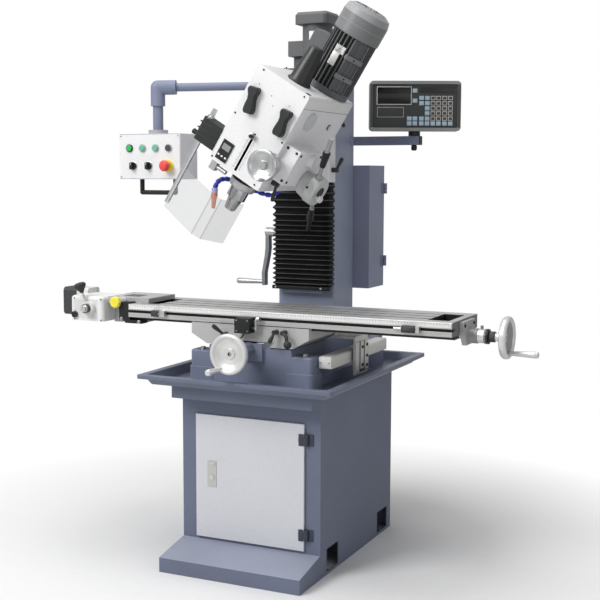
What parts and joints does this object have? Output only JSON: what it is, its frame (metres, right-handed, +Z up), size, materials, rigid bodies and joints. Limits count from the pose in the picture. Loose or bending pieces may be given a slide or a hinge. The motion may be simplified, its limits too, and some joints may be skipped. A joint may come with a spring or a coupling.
{
  "type": "milling drilling machine",
  "caption": "Bench mill on a cabinet stand: cross-slide table with handwheels and power feed, column with lift, tilting gear head with quill, control box and digital readout.",
  "frame": {"origin": "on the floor at the centre of the four anchor holes of the stand", "axes": "+X to the operator's right along the table, +Y to the back, +Z up"},
  "size_m": [1.8275, 1.0605, 1.992],
  "materials": {
    "blue_grey": "satin",
    "light_grey": "satin",
    "white": "satin",
    "ground_steel": "ground",
    "cast_wheel": "satin",
    "black_plastic": "matte",
    "motor_grey": "satin",
    "bellows_black": "matte",
    "readout_grey": "matte",
    "green_button": "gloss",
    "red_plastic": "gloss",
    "yellow_plastic": "gloss",
    "clear_sheet": "clear",
    "hose_blue": "matte"
  },
  "bodies": {
    "frame": {"stand_cabinet": "blue_grey", "chip_tray": "blue_grey", "machine_base": "blue_grey", "y_scale": "ground_steel", "column": "blue_grey", "bellows": "bellows_black", "z_lift_motor": "motor_grey", "electrical_cabinet": "blue_grey", "control_arm": "blue_grey"},
    "stand_door": {"stand_door": "light_grey"},
    "door_lock": {"door_lock": "ground_steel"},
    "cabinet_door": {"cabinet_door": "blue_grey"},
    "saddle": {"saddle": "light_grey", "limit_switch": "black_plastic", "scale_reader": "ground_steel"},
    "table_lock_left": {"table_lock_left": "black_plastic"},
    "table_lock_right": {"table_lock_right": "black_plastic"},
    "saddle_lock": {"saddle_lock": "black_plastic"},
    "table": {"table": "ground_steel", "x_end_bracket": "light_grey", "power_feed": "light_grey"},
    "table_stop_left": {"table_stop_left": "ground_steel"},
    "table_stop_right": {"table_stop_right": "ground_steel"},
    "x_wheel": {"x_screw": "ground_steel", "x_handwheel": "cast_wheel"},
    "feed_lever": {"feed_lever": "white"},
    "feed_dial": {"feed_dial": "black_plastic"},
    "rapid_button": {"rapid_button": "yellow_plastic"},
    "y_wheel": {"y_screw": "ground_steel", "y_handwheel": "cast_wheel"},
    "carriage": {"carriage": "blue_grey"},
    "z_screw": {"z_screw": "ground_steel"},
    "z_crank": {"z_crank": "cast_wheel"},
    "z_lock_lower": {"z_lock_lower": "black_plastic"},
    "z_lock_upper": {"z_lock_upper": "black_plastic"},
    "head": {"head_housing": "white", "head_top_cover": "white", "front_panel": "white", "spindle_motor": "motor_grey", "drawbar_cover": "motor_grey", "guard_bracket": "black_plastic", "coolant_hose": "hose_blue"},
    "speed_lever_left": {"speed_lever_left": "black_plastic"},
    "speed_lever_right": {"speed_lever_right": "black_plastic"},
    "quill": {"quill": "ground_steel"},
    "spindle": {"spindle": "ground_steel", "spindle_shaft": "ground_steel"},
    "feed_hub": {"feed_hub": "cast_wheel"},
    "fine_feed_wheel": {"fine_feed_wheel": "cast_wheel"},
    "quill_lock": {"quill_lock": "black_plastic"},
    "chip_guard": {"chip_guard": "clear_sheet"},
    "control_box": {"control_box": "white"},
    "start_button": {"start_button": "green_button"},
    "forward_button": {"forward_button": "green_button"},
    "reverse_button": {"reverse_button": "green_button"},
    "stop_button": {"stop_button": "black_plastic"},
    "selector_left": {"selector_left": "black_plastic"},
    "selector_right": {"selector_right": "black_plastic"},
    "emergency_stop": {"emergency_stop": "red_plastic"},
    "dro_unit": {"dro_unit": "readout_grey"}
  },
  "joints": [
    {"name": "stand_door_hinge", "type": "hinge", "parent": "frame", "child": "stand_door", "pos_m": [0.221, -0.3465, 0.3165], "axis": [0, 0, 1], "range_deg": [0, 110]},
    {"name": "door_lock_turn", "type": "hinge", "parent": "stand_door", "child": "door_lock", "pos_m": [-0.147, -0.35, 0.315], "axis": [0, -1, 0], "range_deg": [0, 90]},
    {"name": "cabinet_door_hinge", "type": "hinge", "parent": "frame", "child": "cabinet_door", "pos_m": [0.187, 0.469, 1.183], "axis": [0, 0, -1], "range_deg": [0, 110]},
    {"name": "saddle_slide", "type": "slide", "parent": "frame", "child": "saddle", "axis": [0, 1, 0], "range_m": [-0.08, 0.12]},
    {"name": "table_lock_left_turn", "type": "hinge", "parent": "saddle", "child": "table_lock_left", "pos_m": [-0.088, -0.36, 0.832], "axis": [0, 1, 0], "range_deg": [-25, 40]},
    {"name": "table_lock_right_turn", "type": "hinge", "parent": "saddle", "child": "table_lock_right", "pos_m": [0.108, -0.36, 0.851], "axis": [0, 1, 0], "range_deg": [-30, 30]},
    {"name": "saddle_lock_turn", "type": "hinge", "parent": "saddle", "child": "saddle_lock", "pos_m": [0.14, -0.36, 0.851], "axis": [0, 1, 0], "range_deg": [-25, 25]},
    {"name": "table_slide", "type": "slide", "parent": "saddle", "child": "table", "axis": [1, 0, 0], "range_m": [-0.42, 0.18]},
    {"name": "table_stop_left_slide", "type": "slide", "parent": "table", "child": "table_stop_left", "axis": [1, 0, 0], "range_m": [-0.08, 0.1]},
    {"name": "table_stop_right_slide", "type": "slide", "parent": "table", "child": "table_stop_right", "axis": [1, 0, 0], "range_m": [-0.04, 0.06]},
    {"name": "x_wheel_turn", "type": "hinge", "parent": "table", "child": "x_wheel", "pos_m": [0.86, -0.208, 0.861], "axis": [1, 0, 0], "continuous": true},
    {"name": "feed_lever_turn", "type": "hinge", "parent": "table", "child": "feed_lever", "pos_m": [-0.673, -0.34, 0.892], "axis": [0, 1, 0], "range_deg": [0, 44]},
    {"name": "feed_dial_turn", "type": "hinge", "parent": "table", "child": "feed_dial", "pos_m": [-0.673, -0.34, 0.892], "axis": [0, 1, 0], "range_deg": [-135, 135]},
    {"name": "rapid_button_press", "type": "slide", "parent": "table", "child": "rapid_button", "axis": [0, 1, 0], "range_m": [0, 0.004], "stiffness_N_per_m": 400, "springref_m": -0.004},
    {"name": "y_wheel_turn", "type": "hinge", "parent": "frame", "child": "y_wheel", "pos_m": [0, -0.49, 0.786], "axis": [0, 1, 0], "continuous": true},
    {"name": "carriage_slide", "type": "slide", "parent": "frame", "child": "carriage", "axis": [0, 0, 1], "range_m": [-0.15, 0.12], "deforming": ["bellows"]},
    {"name": "z_screw_turn", "type": "hinge", "parent": "frame", "child": "z_screw", "pos_m": [0, 0.15, 1.3], "axis": [0, 0, 1], "continuous": true},
    {"name": "z_crank_turn", "type": "hinge", "parent": "frame", "child": "z_crank", "pos_m": [-0.15, 0.15, 1.164], "axis": [1, 0, 0], "continuous": true},
    {"name": "z_lock_lower_turn", "type": "hinge", "parent": "carriage", "child": "z_lock_lower", "pos_m": [0.13, 0.092, 1.402], "axis": [1, 0, 0], "range_deg": [-25, 25]},
    {"name": "z_lock_upper_turn", "type": "hinge", "parent": "carriage", "child": "z_lock_upper", "pos_m": [0.13, 0.092, 1.604], "axis": [1, 0, 0], "range_deg": [-25, 25]},
    {"name": "head_tilt", "type": "hinge", "parent": "carriage", "child": "head", "pos_m": [0, 0, 1.504], "axis": [0, 1, 0], "range_deg": [-77, 13]},
    {"name": "speed_lever_left_turn", "type": "hinge", "parent": "head", "child": "speed_lever_left", "pos_m": [-0.00467, -0.33, 1.60597], "axis": [0, 1, 0], "range_deg": [-40, 40]},
    {"name": "speed_lever_right_turn", "type": "hinge", "parent": "head", "child": "speed_lever_right", "pos_m": [0.10748, -0.33, 1.52881], "axis": [0, 1, 0], "range_deg": [-40, 40]},
    {"name": "quill_slide", "type": "slide", "parent": "head", "child": "quill", "axis": [-0.5299, 0, -0.848], "range_m": [0, 0.12], "stiffness_N_per_m": 700, "springref_m": -0.25},
    {"name": "spindle_turn", "type": "hinge", "parent": "quill", "child": "spindle", "pos_m": [-0.10598, -0.205, 1.33439], "axis": [0.5299, 0, 0.848], "continuous": true},
    {"name": "feed_hub_turn", "type": "hinge", "parent": "head", "child": "feed_hub", "pos_m": [0.13781, -0.155, 1.34713], "axis": [0.848, 0, -0.5299], "continuous": true},
    {"name": "fine_feed_turn", "type": "hinge", "parent": "head", "child": "fine_feed_wheel", "pos_m": [0.07643, -0.39, 1.41497], "axis": [0, 1, 0], "continuous": true},
    {"name": "quill_lock_turn", "type": "hinge", "parent": "head", "child": "quill_lock", "pos_m": [0.05725, -0.25, 1.35031], "axis": [0.848, 0, -0.5299], "range_deg": [-25, 35]},
    {"name": "chip_guard_swing", "type": "hinge", "parent": "head", "child": "chip_guard", "pos_m": [-0.20988, -0.3, 1.51723], "axis": [-0.5299, 0, -0.848], "range_deg": [0, 95]},
    {"name": "control_box_swivel", "type": "hinge", "parent": "frame", "child": "control_box", "pos_m": [-0.593, 0.03, 1.548], "axis": [0, 0, 1], "range_deg": [-45, 45]},
    {"name": "start_button_press", "type": "slide", "parent": "control_box", "child": "start_button", "axis": [0, 1, 0], "range_m": [0, 0.004], "stiffness_N_per_m": 400, "springref_m": -0.004},
    {"name": "forward_button_press", "type": "slide", "parent": "control_box", "child": "forward_button", "axis": [0, 1, 0], "range_m": [0, 0.004], "stiffness_N_per_m": 400, "springref_m": -0.004},
    {"name": "reverse_button_press", "type": "slide", "parent": "control_box", "child": "reverse_button", "axis": [0, 1, 0], "range_m": [0, 0.004], "stiffness_N_per_m": 400, "springref_m": -0.004},
    {"name": "stop_button_press", "type": "slide", "parent": "control_box", "child": "stop_button", "axis": [0, 1, 0], "range_m": [0, 0.004], "stiffness_N_per_m": 400, "springref_m": -0.004},
    {"name": "selector_left_turn", "type": "hinge", "parent": "control_box", "child": "selector_left", "pos_m": [-0.667, -0.04, 1.417], "axis": [0, 1, 0], "range_deg": [-45, 45]},
    {"name": "selector_right_turn", "type": "hinge", "parent": "control_box", "child": "selector_right", "pos_m": [-0.597, -0.04, 1.417], "axis": [0, 1, 0], "range_deg": [-45, 45]},
    {"name": "emergency_stop_press", "type": "slide", "parent": "control_box", "child": "emergency_stop", "axis": [0, 1, 0], "range_m": [0, 0.006]},
    {"name": "dro_swivel", "type": "hinge", "parent": "frame", "child": "dro_unit", "pos_m": [0.365, 0.3, 1.54], "axis": [0, 0, 1], "range_deg": [-45, 45]}
  ],
  "couplings": [
    {"joint": "x_wheel_turn", "follows": "table_slide", "rad_per_m": 1256.6},
    {"joint": "y_wheel_turn", "follows": "saddle_slide", "rad_per_m": 1256.6},
    {"joint": "z_screw_turn", "follows": "carriage_slide", "rad_per_m": 1256.6},
    {"joint": "z_crank_turn", "follows": "carriage_slide", "rad_per_m": 1256.6},
    {"joint": "feed_hub_turn", "follows": "quill_slide", "rad_per_m": 66.667}
  ]
}
